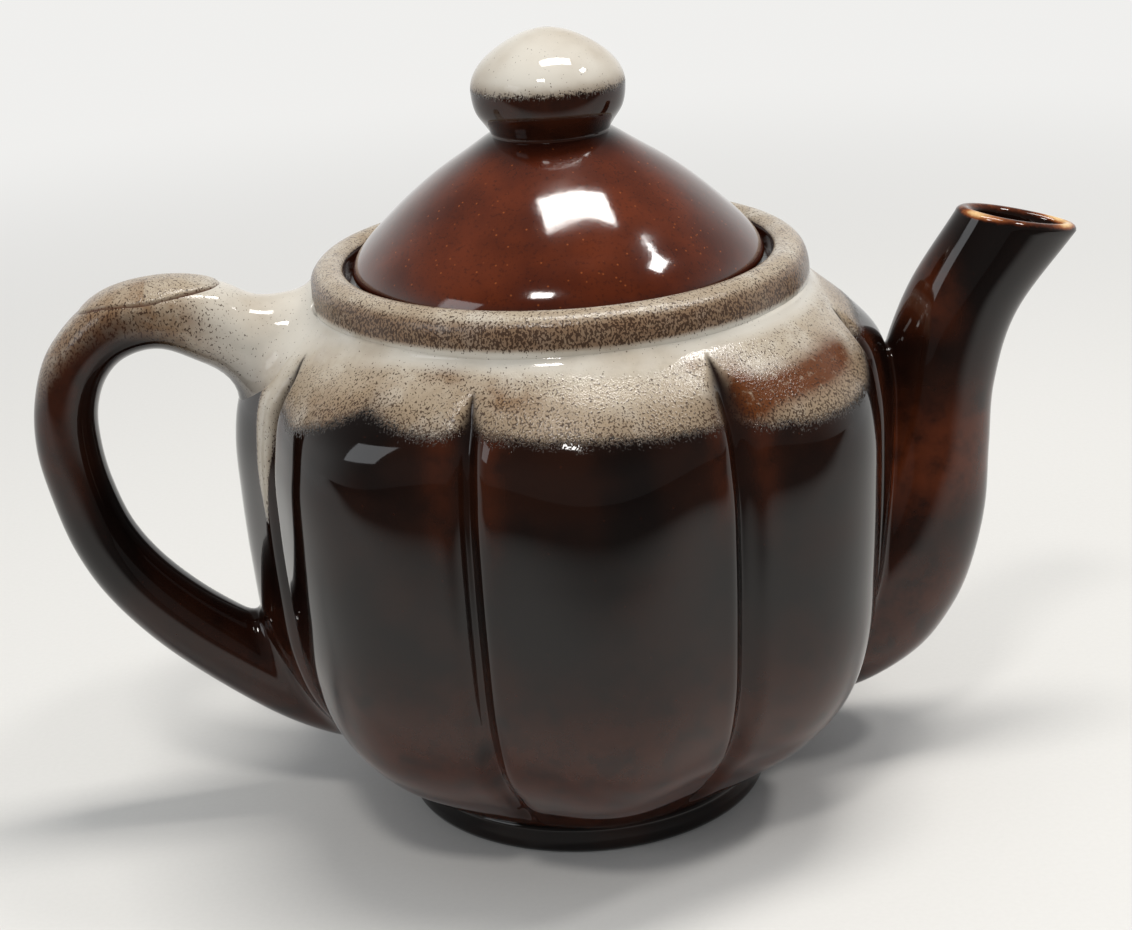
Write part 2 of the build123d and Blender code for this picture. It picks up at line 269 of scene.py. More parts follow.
def pot_masks(x, y, z):
    """Masks of the drip glaze on the pot's wall, by place."""
    angle = np.arctan2(y, x)
    away = np.degrees(np.abs(angle))
    gap = groove_gap(np.hypot(x, y), angle)
    run = hump(away, run_angle, run_width)
    edge = drip_edge(angle) - run_drop * run
    cover = z - edge
    pool = 115.4 - 3.6 * ease(away, 128, 160) - 1.6 * hump(away, 82, 14)
    front_tip = (away < 90) & (away > 42)
    tip = np.where(front_tip, 114.4, 111.8)
    opened = ease(tip - z, -0.3, 9)
    crease = hump(gap, 0, 0.4 + (1.6 + 2.2 * front_tip) * opened) * ease(tip - z, -0.6, 1.2)
    sweep = ease(away, 26, 38) * (1 - ease(away, 61, 66)) * hump(z, 107.2 + 0.05 * (46 - away), 2.6)
    rust = 1.6 * sweep + 1.2 * hump(away, 62.2, 3.2) * hump(z, 107.0, 5.2)
    tan = hump(away, 108, 7) * hump(z, 111.0, 2.8) + hump(away, 120.5, 4) * hump(z, 114.4, 1.8)
    tan += 0.8 * hump(away, 143, 7) * hump(z, 107.5, 2.4) + 0.8 * hump(away, 71, 3) * hump(z, 113.6, 1.6)
    shade = ease(-cover, -7, 0) + 0.6 * (1 - ease(away, 44, 66)) * ease(106 - z, 0, 2)
    return {
        "cover": cover,
        "thick": np.clip(ease(z, pool - 1.6, pool + 1.2) + 0.75 * run, 0, 1),
        "dense": np.clip(0.38 + 0.62 * shade + 0.4 * tan, 0, 1),
        "rust": np.clip(rust, 0, 1),
        "tan": np.clip(tan, 0, 1),
        "groove": crease,
        "warm": np.clip(0.40 * hump(gap, 5.0, 3.0) * ease(z, 70, 100) + 0.55 * (1 - ease(z, 22, 66)), 0, 1),
        "thin": 0.0,
    }


# ---- materials --------------------------------------------------------------------------------
class Shader:
    """A material's node tree, with one short call for each node."""

    def __init__(self, name):
        self.material = bpy.data.materials.new(name)
        self.material.use_nodes = True
        self.tree = self.material.node_tree
        self.surface = self.tree.nodes["Principled BSDF"]
        place = self.tree.nodes.new("ShaderNodeTexCoord")
        self.place = place.outputs["Object"]

    def put(self, socket, value):
        if isinstance(value, bpy.types.NodeSocket):
            self.tree.links.new(value, socket)
        elif hasattr(value, "__len__") and socket.type == "RGBA":
            socket.default_value = (*value, 1)
        else:
            socket.default_value = value

    def node(self, kind, inputs, **settings):
        made = self.tree.nodes.new("ShaderNode" + kind)
        for name, value in settings.items():
            setattr(made, name, value)
        for name, value in inputs.items():
            self.put(made.inputs[name], value)
        return made

    def mask(self, name):
        return self.node("Attribute", {}, attribute_name=name).outputs["Fac"]

    def maths(self, operation, a, b=0.0, clamp=False):
        return self.node("Math", {0: a, 1: b}, operation=operation, use_clamp=clamp).outputs[0]

    def step(self, value, start, end):
        """0 before start, 1 after end, smooth between."""
        inputs = {"Value": value, "From Min": start, "From Max": end}
        return self.node("MapRange", inputs, interpolation_type="SMOOTHSTEP").outputs[0]

    def noise(self, size, detail=2.0, roughness=0.5, distortion=0.0, place=None):
        """Noise with lumps of about this size in millimetres, from 0 to 1."""
        inputs = {
            "Scale": 1 / (size * MM), "Detail": detail, "Roughness": roughness, "Distortion": distortion,
        }
        inputs["Vector"] = place or self.place
        return self.node("TexNoise", inputs).outputs["Fac"]

    def dots(self, pitch, radius):
        """1 at the middle of scattered dots of this radius, 0 outside them."""
        cells = self.node("TexVoronoi", {"Vector": self.place, "Scale": 1 / (pitch * MM), "Randomness": 1.0})
        return self.step(cells.outputs["Distance"], radius / pitch, 0.3 * radius / pitch)

    def blend(self, amount, a, b):
        mixer = self.node("Mix", {0: amount}, data_type="RGBA")
        self.put(mixer.inputs[6], a)
        self.put(mixer.inputs[7], b)
        return mixer.outputs[2]

    def ramp(self, value, *stops):
        """Colours by value: each stop is (value, colour)."""
        made = self.node("ValToRGB", {"Fac": value})
        points = made.color_ramp.elements
        while len(points) < len(stops):
            points.new(0.5)
        for point, (at, colour) in zip(points, stops):
            point.position = at
            point.color = (*colour, 1)
        return made.outputs["Color"]

    def bump(self, height, distance, below=None):
        inputs = {"Height": height, "Distance": distance * MM, "Strength": 1.0}
        if below is not None:
            inputs["Normal"] = below
        return self.node("Bump", inputs).outputs["Normal"]

    def finish(self, **inputs):
        for name, value in inputs.items():
            self.put(self.surface.inputs[name.replace("_", " ")], value)
        return self.material


BLACK_BROWN = (0.0055, 0.0030, 0.0024)
DEEP_BROWN = (0.0170, 0.0058, 0.0032)
RED_BROWN = (0.090, 0.0200, 0.0065)
RUST = (0.112, 0.034, 0.009)
ORANGE = (0.30, 0.100, 0.030)
GOLD = (0.74, 0.50, 0.24)
STONE = (0.215, 0.162, 0.114)
TAN = (0.300, 0.226, 0.150)
BEIGE = (0.425, 0.358, 0.272)
CREAM = (0.600, 0.565, 0.500)
SPECK = (0.036, 0.017, 0.0095)


def drip_glaze(name):
    """Glossy near-black glaze, with a pale speckled glaze run over it where cover is above 0."""
    s = Shader(name)
    cloud = s.noise(24, 3)
    lumps = s.noise(6, 3, 0.6)
    along = s.node("Mapping", {"Vector": s.place, "Scale": (1, 1, 0.62)}).outputs[0]
    fleck = s.noise(0.40, 1.2, 0.55, place=along)
    drift = s.noise(11, 3, 0.55)
    mottle = s.noise(1.5, 3, 0.65)
    thick = s.mask("thick")

    fringe = s.maths("MULTIPLY", s.maths("SUBTRACT", fleck, 0.5), 6.0)
    ragged = s.maths("MULTIPLY", s.maths("SUBTRACT", lumps, 0.5), 2.4)
    edge = s.maths("ADD", s.maths("ADD", s.mask("cover"), ragged), fringe)
    cover = s.step(edge, -0.7, 0.9)

    base = s.blend(s.step(cloud, 0.38, 0.70), BLACK_BROWN, DEEP_BROWN)
    base = s.blend(s.maths("MULTIPLY", s.mask("warm"), s.step(lumps, 0.10, 0.65)), base, RED_BROWN)
    base = s.blend(s.maths("MULTIPLY", s.dots(3.1, 0.30), 0.20), base, RED_BROWN)
    worn = s.maths("ADD", s.mask("thin"), s.maths("MULTIPLY", s.maths("SUBTRACT", mottle, 0.5), 0.35))
    edges = s.ramp(worn, (0.30, RED_BROWN), (0.55, ORANGE), (0.85, GOLD))
    base = s.blend(s.step(worn, 0.12, 0.42), base, edges)

    depth = s.maths("ADD", s.mask("cover"), s.maths("MULTIPLY", s.maths("SUBTRACT", cloud, 0.5), 5))
    pale = s.ramp(s.step(depth, -1.0, 9.0), (0.0, STONE), (0.4, TAN), (1.0, BEIGE))
    pale = s.blend(s.maths("MULTIPLY", s.step(drift, 0.42, 0.72), 0.60), pale, TAN)
    pale = s.blend(s.maths("MULTIPLY", s.step(drift, 0.50, 0.24), 0.50), pale, CREAM)
    pale = s.blend(s.maths("MULTIPLY", s.step(mottle, 0.40, 0.75), 0.30), pale, STONE)
    pale = s.blend(s.maths("MULTIPLY", s.mask("tan"), s.step(lumps, 0.25, 0.7)), pale, (0.215, 0.130, 0.070))
    pale = s.blend(s.maths("MULTIPLY", thick, s.step(cloud, 0.15, 0.6)), pale, CREAM)
    pale = s.blend(s.maths("MULTIPLY", s.mask("rust"), s.step(mottle, 0.15, 0.45)), pale, RUST)
    dense = s.maths("SUBTRACT", s.mask("dense"), s.maths("MULTIPLY", thick, 0.75))
    uneven = s.maths("MULTIPLY", s.maths("SUBTRACT", lumps, 0.5), 0.10)
    reach = s.maths("ADD", s.maths("MULTIPLY", dense, 0.14), uneven)
    speckle = s.step(s.maths("ADD", fleck, reach), 0.655, 0.700)
    pale = s.blend(s.maths("MULTIPLY", speckle, 0.85), pale, SPECK)
    cover = s.maths("MULTIPLY", cover, s.maths("SUBTRACT", 1.0, s.mask("groove")))

    colour = s.blend(cover, base, pale)
    bare = s.maths("SUBTRACT", 1.0, thick)
    dry = s.maths("MULTIPLY", s.maths("MULTIPLY", cover, bare), 0.16)
    satin = s.maths("ADD", dry, s.maths("MULTIPLY", mottle, 0.07))
    waves = s.bump(s.noise(23, 1), 0.22)
    pits = s.bump(s.maths("MULTIPLY", s.maths("MULTIPLY", fleck, cover), bare), 0.09, waves)
    step_down = s.bump(cover, 0.22, pits)
    return s.finish(Base_Color=colour, Roughness=s.maths("ADD", satin, 0.015), IOR=1.43, Normal=step_down)


def lid_glaze():
    """Glossy rust-red glaze with fine orange freckles, darker round the knob."""
    s = Shader("lid_glaze")
    cloud = s.noise(18, 3)
    base = s.blend(s.step(cloud, 0.35, 0.7), (0.060, 0.0105, 0.0034), (0.112, 0.0205, 0.0055))
    base = s.blend(s.maths("MULTIPLY", s.dots(2.1, 0.30), 0.55), base, (0.36, 0.095, 0.022))
    dark = s.maths("MULTIPLY", s.step(s.noise(0.8, 2, 0.6), 0.52, 0.72), 0.45)
    base = s.blend(dark, base, (0.028, 0.006, 0.003))
    base = s.blend(s.mask("shade"), base, (0.014, 0.004, 0.0025))
    waves = s.bump(s.noise(17, 1), 0.30)
    peel = s.bump(s.noise(1.6, 1), 0.012, waves)
    rough = s.maths("ADD", 0.05, s.maths("MULTIPLY", s.noise(5, 3), 0.09))
    coat = {"Coat_Weight": 0.3, "Coat_Roughness": 0.05}
    return s.finish(Base_Color=base, Roughness=rough, IOR=1.52, Normal=peel, **coat)


def bare_clay():
    """Unglazed stoneware with fine grog."""
    s = Shader("bare_clay")
    base = s.blend(s.noise(3, 4, 0.6), (0.42, 0.27, 0.17), (0.58, 0.42, 0.29))
    base = s.blend(s.dots(1.7, 0.25), base, (0.22, 0.11, 0.06))
    grain = s.bump(s.noise(0.5, 3, 0.7), 0.08)
    return s.finish(Base_Color=base, Roughness=0.82, Normal=grain)


def brushed_steel(name, brightness=0.62):
    """Stainless steel with fine scratches that run round the basket."""
    s = Shader(name)
    x, y, z = s.node("SeparateXYZ", {0: s.place}).outputs
    around = s.maths("ARCTAN2", y, x)
    flow = s.node("CombineXYZ", {0: s.maths("MULTIPLY", around, 0.006), 1: 0.0, 2: z}).outputs[0]
    scratch = s.noise(0.25, 2, 0.6, place=flow)
    smudge = s.noise(14, 3)
    dull = (brightness * 0.82, brightness * 0.83, brightness * 0.85)
    tone = s.blend(s.step(smudge, 0.3, 0.7), (brightness,) * 3, dull)
    marks = s.maths("ADD", s.maths("MULTIPLY", scratch, 0.18), s.maths("MULTIPLY", smudge, 0.08))
    rough = s.maths("ADD", 0.16, marks)
    return s.finish(Base_Color=tone, Metallic=1.0, Roughness=rough, Normal=s.bump(scratch, 0.01))


# ---- pot body, collar and foot -------------------------------------------------------------------
def strainer_cutter():
    """Rods that cut the strainer's holes through the wall behind the spout."""
    work = bmesh.new()
    spots = [(0, 0)]
    spots += [(strainer_pitch * np.cos(a), strainer_pitch * np.sin(a)) for a in np.arange(6) * np.pi / 3]
    for across, up in spots:
        place = Matrix.Translation(((body_high[0] - wall) * MM, across * MM, (strainer_height + up) * MM))
        turned = place @ Matrix.Rotation(np.pi / 2, 4, "Y")
        size = strainer_hole / 2 * MM
        bmesh.ops.create_cone(
            work, cap_ends=True, segments=32, radius1=size, radius2=size, depth=5 * wall * MM, matrix=turned
        )
    mesh = bpy.data.meshes.new("strainer_cutter")
    work.to_mesh(mesh)
    work.free()
    return bpy.data.objects.new("strainer_cutter", mesh)


def cut(piece, cutter):
    """Cuts the cutter's shape out of a piece."""
    bpy.context.collection.objects.link(cutter)
    change = piece.modifiers.new("cut", "BOOLEAN")
    change.operation = "DIFFERENCE"
    change.solver = "EXACT"
    change.object = cutter
    bpy.context.view_layer.update()
    shape = piece.evaluated_get(bpy.context.evaluated_depsgraph_get())
    piece.data = bpy.data.meshes.new_from_object(shape)
    piece.modifiers.clear()
    bpy.data.objects.remove(cutter)


def make_body():
    angle = lobe_angles(44)
    rows = []
    for r in (8, foot_radius - foot_ring_width - 1, foot_radius - 2):
        rows.append(ring(r, foot_top + 0.1, angle))
    for r, z in crest_line:
        rows.append(ring(lobed(r, z, angle), z, angle))
    neck_top = neck_height + 0.4
    for r, z in ((50, neck_top), (throat_radius + 1, neck_top), (throat_radius, neck_height - 1)):
        rows.append(ring(r, z, angle))
    inner = [p for p in crest_line[::-1] if throat_radius + wall + 3 < p[0] and p[1] > foot_top + wall]
    for r, z in inner[::2]:
        rows.append(ring(lobed(r, z, angle) - wall, min(z, neck_height - wall), angle))
    for r in (40, 30, 15, 5):
        rows.append(ring(r, foot_top + wall, angle))
    body = ring_mesh("body_shell", rows)
    cut(body, strainer_cutter())
    paint(body, **pot_masks(*places(body)))
    return body


def make_collar():
    """Rolled ring round the mouth, with the ledge for the basket and the throat below it."""
    front = smooth_line(collar_outline, 34)
    step = [
        (mouth_radius - 0.2, ledge_height + 1.0), (mouth_radius - 1.0, ledge_height),
        (throat_radius + 1, ledge_height), (throat_radius + 0.1, ledge_height - 0.9),
        (throat_radius + 0.1, neck_height - 1.8), (52, neck_height - 1.8),
    ]
    collar = lathe("collar_ring", [*front, *step], around=fine_turn, closed=True)
    x, y, z = places(collar)
    radius = np.hypot(x, y)
    face = ease(radius, 51.5, 53.3) * ease(z, neck_height + 1.2, neck_height + 2.6)
    throat = 1 - ease(radius, mouth_radius - 1, mouth_radius + 1)
    pooled = ease(radius, 52, 53.5) * (1 - ease(z, neck_height + 1.0, neck_height + 2.4))
    paint(
        collar, cover=9 - 6.5 * face - 30 * throat, thick=pooled, dense=0.55 + 0.75 * face, rust=0.35 * face,
        tan=0.1 + 0.5 * face, groove=0.0, warm=0.3, thin=0.0,
    )
    return collar


def make_foot():
    """Low ring that the pot stands on, all in the dark glaze, its underside too."""
    inside = foot_radius - foot_ring_width
    outline = [
        (inside, foot_top + 0.3), (inside, 1.4), (inside + 0.4, 0.5), (inside + 1.4, 0.0),
        (foot_radius - 1.5, 0.0), (foot_radius - 0.45, 0.45), (foot_radius, 1.5), (foot_radius - 0.2, 3.2),
        (foot_radius - 0.5, foot_top - 1.0), (foot_radius - 0.3, foot_top + 0.3),
    ]
    foot = lathe("foot_ring", outline, around=fine_turn, closed=True)
    paint(foot, cover=-20.0, thick=0.0, dense=0.0, rust=0.0, tan=0.0, groove=0.6, warm=0.0, thin=0.0)
    return foot


# ---- tubes that land on the pot -------------------------------------------------------------------
def oval_rings(outer, inner, widths, shares, around, inset=0.0, pinch=0.0, flat=0.0):
    """Oval rings between an outer and an inner edge line in the XZ plane, with half widths across Y.

    Pinch narrows the outer edge towards the last ring, and flat makes the outer side squarer.
    """
    far, near = curve(outer, shares), curve(inner, shares)
    half_width = curve([(w, 0) for w in widths], shares)[:, 0]
    middle, half = (far + near) / 2, (far - near) / 2
    half = half * (1 - inset / np.linalg.norm(half, axis=1))[:, None]
    turn = np.linspace(0, 2 * np.pi, around, endpoint=False)
    across, out = np.sin(turn), np.cos(turn)
    power = 1 - np.broadcast_to(flat, len(shares))[:, None] * ease(out, -0.2, 0.2)
    across = np.sign(across) * np.abs(across) ** power
    out = np.sign(out) * np.abs(out) ** power
    share = np.asarray(pinch * shares**3)[:, None]
    x = middle[:, :1] + half[:, :1] * out
    y = (half_width - inset)[:, None] * across * (1 - share * (0.5 + 0.5 * out) ** 2)
    z = middle[:, 1:] + half[:, 1:] * out
    return np.stack([x, y, z], -1)


def depth_in_wall(points):
    x, y, z = np.moveaxis(np.asarray(points), -1, 0)
    return wall_radius(z, np.arctan2(y, x)) - np.hypot(x, y)


def skin_radius(height, angle):
    """Radius of the pot's outside: the wall, and the collar where that stands above it."""
    rise = np.array(collar_outline[:7])
    side = wall_radius(height, angle)
    collar = np.interp(height, rise[:, 1], rise[:, 0])
    return np.where(height > neck_height + 0.6, np.minimum(side, collar), side)


def wall_normal(point, step=0.5):
    change = [depth_in_wall(point - side) - depth_in_wall(point + side) for side in np.eye(3) * step]
    return np.array(change) / np.linalg.norm(change)


def land(line, centres, fillet, steps=9):
    """Splits a line that starts inside the pot: a fillet on the wall, and the rest of the line outside."""
    depth = depth_in_wall(line)
    last = np.nonzero(depth > 0)[0].max()
    share = depth[last] / (depth[last] - depth[last + 1])
    corner = line[last] + (line[last + 1] - line[last]) * share
    rest = line[last + 1:]
    run = np.cumsum(np.linalg.norm(np.diff(np.vstack([corner, rest]), axis=0), axis=1))
    free = np.searchsorted(run, fillet)
    normal = wall_normal(corner)
    outwards = corner - centres[last]
    outwards -= normal * (outwards @ normal)
    foot = corner + outwards / np.linalg.norm(outwards) * fillet
    angle = np.arctan2(foot[1], foot[0])
    foot[:2] = (skin_radius(foot[2], angle) - 0.3) * np.array([np.cos(angle), np.sin(angle)])
    s = np.linspace(0, 1, steps)[:, None]
    bend = (1 - s) ** 2 * foot + 2 * s * (1 - s) * corner + s**2 * rest[free]
    return bend, rest[free:], corner


def landed_rows(rings, fillets, count):
    """Tube rows whose first ring lands on the wall: fillet rows, then count rows to the last ring."""
    centres = rings.mean(1)
    columns = []
    for n in range(rings.shape[1]):
        bend, rest, _ = land(rings[:, n], centres, fillets[n])
        columns.append(np.vstack([bend[:-1], evenly(rest, count)]))
    return np.stack(columns, 1)


# ---- spout -----------------------------------------------------------------------------------------
spout_outer = [
    (43, 12.5), (56, 12.8), (68, 16.2), (79.4, 22.9), (87, 32.1), (91.6, 42),
    (94.9, 56), (95.8, 71), (96.9, 86), (102, 102), (115.3, 118.9),
]
spout_inner = [
    (36, 24), (42, 34), (48, 45), (54, 55), (60, 64), (64.5, 72),
    (68, 80), (70.5, 88.5), (73.2, 98.5), (78.6, 110.8), (88.2, 125.2),
]
spout_widths = [7, 11, 14.5, 15.5, 15, 14, 12.8, 11.8, 11.2, 10.6, 9.6]


def make_spout():
    shares = np.linspace(0, 1, 320)
    around = 96
    rings = oval_rings(spout_outer, spout_inner, spout_widths, shares, around, pinch=lip_pinch)
    inset = spout_wall + 0.6 * ease(shares, 0.85, 1)
    bore = oval_rings(spout_outer, spout_inner, spout_widths, shares, around, inset=inset, pinch=lip_pinch)
    rows = list(landed_rows(rings, np.full(around, spout_fillet), 90))
    lip = rings[-1] - bore[-1]
    up = np.cross(rings[-1, 0] - rings[-1, around // 2], (0, 1, 0))
    up *= np.sign(up[2]) / np.linalg.norm(up)
    for bend in np.linspace(0, np.pi, 9)[1:-1]:
        rows.append(bore[-1] + lip * (1 + np.cos(bend)) / 2 + up * np.sin(bend) * spout_wall / 2)
    columns = []
    for n in range(around):
        _, rest, corner = land(bore[:, n], bore.mean(1), 0.01)
        columns.append(evenly(np.vstack([corner, rest])[::-1], 60))
    rows += list(np.stack(columns, 1))
    inside = rows[-1].copy()
    inside[:, :2] *= 1 - 0.8 / np.hypot(*inside[:, :2].T)[:, None]
    rows.append(inside)
    spout = ring_mesh("spout_tube", rows, joined=True)
    x, y, z = places(spout)
    tip_line = z + 0.21 * (x - 88)
    rim = ease(tip_line, 124.6, 126.4) * ease(x, 78, 84)
    worn = hump(x, 89, 5.5) * ease(-y, 1, 5) + hump(x, 112, 2.5)
    red_side = (1 - ease(x + 0.20 * (z - 100), 82, 92)) * ease(z, 96, 106)
    middle = 1.15 * hump(z, 73, 12) + 0.55 * (1 - ease(z, 40, 58))
    paint(
        spout, cover=-24.0, thick=0.0, dense=0.0, rust=0.0, tan=0.0, groove=0.0,
        warm=np.clip(np.maximum(middle, 0.6 * red_side), 0, 1), thin=rim * (0.32 + 0.6 * np.clip(worn, 0, 1)),
    )
    return spout


# ---- handle and thumb rest ---------------------------------------------------------------------------
handle_outer = [
    (-50, 121.6), (-64, 120.2), (-73.5, 124.0), (-86, 124.6), (-99.5, 122.0), (-109.4, 113.3),
    (-114.0, 102.6), (-115.3, 91), (-113.6, 79.2), (-110.2, 66.5), (-104.3, 54.8), (-94.3, 42.4),
    (-81, 30.4), (-67.8, 20.8), (-55, 15.0), (-43, 13.5),
]
handle_inner = [
    (-54, 97.5), (-65, 100.5), (-76.5, 106.3), (-86, 110.9), (-93.5, 109.8), (-98.5, 105.3), (-101.2, 98.4),
    (-101.5, 90.4), (-100.2, 81.6), (-97, 71.6), (-91.5, 62.9), (-83.5, 54.6), (-74.5, 47.6),
    (-64, 40.5), (-53, 35), (-42, 31),
]
handle_widths = [10.5, 10, 9.2, 8.8, 8.6, 8.3, 8.0, 7.8, 7.8, 8.0, 8.2, 8.5, 9.0, 9.8, 10.5, 10.5]


def make_handle():
    shares = np.linspace(0, 1, 700)
    around = 72
    flat = 0.52 * hump(shares, 0.21, 0.085)
    rings = oval_rings(handle_outer, handle_inner, handle_widths, shares, around, flat=flat)
    middle = len(shares) // 2
    turn = np.linspace(0, 2 * np.pi, around, endpoint=False)
    top = landed_rows(rings[: middle + 1], 6.5 - 3.0 * np.cos(turn), 70)
    low = landed_rows(rings[middle:][::-1], 5.0 - 1.5 * np.cos(turn), 70)
    rows = [*top, *low[::-1][1:]]
    handle = ring_mesh("handle_loop", rows)
    x, y, z = places(handle)
    inside = np.r_[np.tile(-np.cos(turn), len(rows)), 0, 0]
    root = (1 - ease(np.hypot(x, y), 70, 84)) * ease(z, 95, 103)
    fading = ease(-x, 74, 100)
    under = np.maximum(
        ease(inside, 0.72, 0.92) * ease(x, -82, -76),
        ease(inside, 0.30, 0.65) * ease(x, -75, -71) * (1 - ease(z, 99, 103)),
    )
    brown = inside + 1.15 * fading + 1.3 * (1 - ease(z, 88, 119)) * ease(-x, 90, 104)
    paint(
        handle, cover=np.where(z > 60, 12.0, -20.0), thick=root,
        dense=0.45 + 0.4 * np.maximum(fading, hump(x, -73, 6)),
        rust=0.12 * ease(brown, -0.35, 0.75), tan=np.clip(0.5 * fading + ease(brown, -0.7, 0.1), 0, 1),
        groove=np.maximum.reduce([ease(brown, 0.15, 1.3), 1 - ease(z, 72, 106), under]),
        warm=0.30 * ease(z, 66, 96) * (1 - ease(inside, 0.1, 0.5)) + 0.3 * (1 - ease(z, 20, 60)),
        thin=0.0,
    )
    return handle


def make_thumb_rest():
    """Low crowned oval pad, let into the top of the handle, where the thumb holds it down."""
    low, high = box_mm("thumb_rest")
    centre = (low[0] + high[0]) / 2
    half_length, half_width = (high[0] - low[0]) / 2, (high[1] - low[1]) / 2
    top_line = curve(handle_outer, np.linspace(0, 0.4, 200))
    turn = np.linspace(0, 2 * np.pi, 120, endpoint=False)
    rows = []
    for share in (1.02, 1.0, 0.985, 0.96, 0.92, 0.85, 0.7, 0.5, 0.3, 0.1):
        x = centre + half_length * share * np.cos(turn)
        y = half_width * share * np.sin(turn)
        ground = np.interp(-x, -top_line[:, 0], top_line[:, 1]) - 1.7 * np.abs(y / half_width) ** 4
        rise = pad_crown * (1 - share**2) + 0.20 - 0.50 * ease(share, 0.95, 1.0)
        sink = 1.2 if share > 1 else 0.0
        rows.append(np.stack([x, y, ground + rise - sink], -1))
    rest = ring_mesh("thumb_pad", rows)
    x, y, _ = places(rest)
    out = np.hypot((x - centre) / half_length, y / half_width)
    paint(
        rest, cover=7.0, thick=0.0, dense=0.55, rust=0.0,
        tan=0.75 * ease(out * np.sign(centre - x), -0.6, 0.5),
        groove=0.8 * ease(out, 0.965, 0.995), warm=0.8, thin=0.0,
    )
    return rest


# ---- lid -----------------------------------------------------------------------------------------------
def make_lid():
    outside = smooth_line(
        [
            (lid_radius - 0.3, lid_seat + 1.6), (lid_radius, lid_seat + 2.8),
            (lid_radius - 1.1, lid_seat + 5.2), (41.0, 128.7), (37.7, 132.0), (32.4, 136.9),
            (26.0, 142), (18.6, 146.9),
            (13.4, lid_top), (11, lid_top + 0.6),
        ],
        90,
    )
    inside = smooth_line([(5, 145.5), (14, 144), (22, 140), (28, 134.5), (32, 128), (34, lid_seat + 1.2)], 30)
    rim = [
        (34.6, lid_seat + 0.1), (39, lid_seat), (lid_radius - 1.2, lid_seat),
        (lid_radius - 0.5, lid_seat + 0.5),
    ]
    profile = [(4, lid_top + 0.6), *outside[::-1], *rim[::-1], *inside[::-1]]
    dome = lathe("lid_dome_shell", profile, around=fine_turn)
    x, y, z = places(dome)
    radius = np.hypot(x, y)
    under = (z < 146) & (radius < np.interp(z, outside[:, 1], outside[:, 0]) - 2)
    shade = np.maximum(0.85 * (1 - ease(radius, 12.5, 19)), 0.55 * (1 - ease(z, lid_seat + 1, lid_seat + 5)))
    paint(dome, shade=np.where(under, 0.7, shade))
    return dome


def make_lid_skirt():
    inner, outer = skirt_high[0] - skirt_wall, skirt_high[0]
    low, high = skirt_low[2], skirt_high[2]
    outline = [
        (inner, high + 0.2), (inner, low + 1.2), (inner + 0.4, low + 0.3), (inner + 1.2, low),
        (outer - 1.2, low),
        (outer - 0.4, low + 0.3), (outer, low + 1.2), (outer, high - 0.8), (outer + 0.5, high + 0.2),
    ]
    return lathe("lid_skirt_ring", outline, around=192, closed=True)


def make_knob():
    height = knob_top - lid_top
    outline = smooth_line(
        [
            (12.9, lid_top - 0.2), (12.7, lid_top + 0.8), (13.6, lid_top + 2.3), (15.6, lid_top + 5.4),
            (knob_high[0], lid_top + 9.3), (15.7, lid_top + 12.6), (13.4, lid_top + 15.8),
            (9.6, lid_top + 18.7), (5.2, lid_top + 20.9), (1.6, knob_top),
        ],
        70,
    )
    knob = lathe("knob_bulb", [(6, lid_top - 0.2), *outline], around=160)
    _, _, z = places(knob)
    paint(
        knob, cover=(z - lid_top - 0.47 * height) * 1.6,
        thick=ease(z, lid_top + 0.46 * height, lid_top + 0.62 * height),
        dense=0.3, rust=0.0, tan=0.0, groove=0.0, warm=0.25, thin=0.0,
    )
    return knob


# ---- infuser ----------------------------------------------------------------------------------------
wire_pitch = 1.55
wire_radius = 0.26
wire_weave = 0.2
band_wall = 0.6
bail_bend = 2.5


def make_rim():
    """Flanged top band with a rolled bead at its lower edge."""
    rim_low, rim_high = box_mm("infuser_rim")
    inner, outer, edge = basket_high[0] - band_wall, basket_high[0], rim_high[0]
    top, low = rim_high[2], rim_low[2]
    under = top - 0.8
    outline = [
        (inner, low), (outer, low), (outer + 0.28, low + 0.5), (outer + 0.28, low + 1.0), (outer, low + 1.5),
        (outer, under - 0.9), (outer + 0.25, under - 0.25), (outer + 0.9, under), (edge - 0.5, under),
        (edge - 0.1, under + 0.15), (edge, under + 0.4), (edge - 0.1, top - 0.15), (edge - 0.5, top),
        (inner + 1.0, top), (inner + 0.3, top - 0.3), (inner, top - 1.0),
    ]
    return lathe("infuser_top_band", outline, around=192, closed=True)


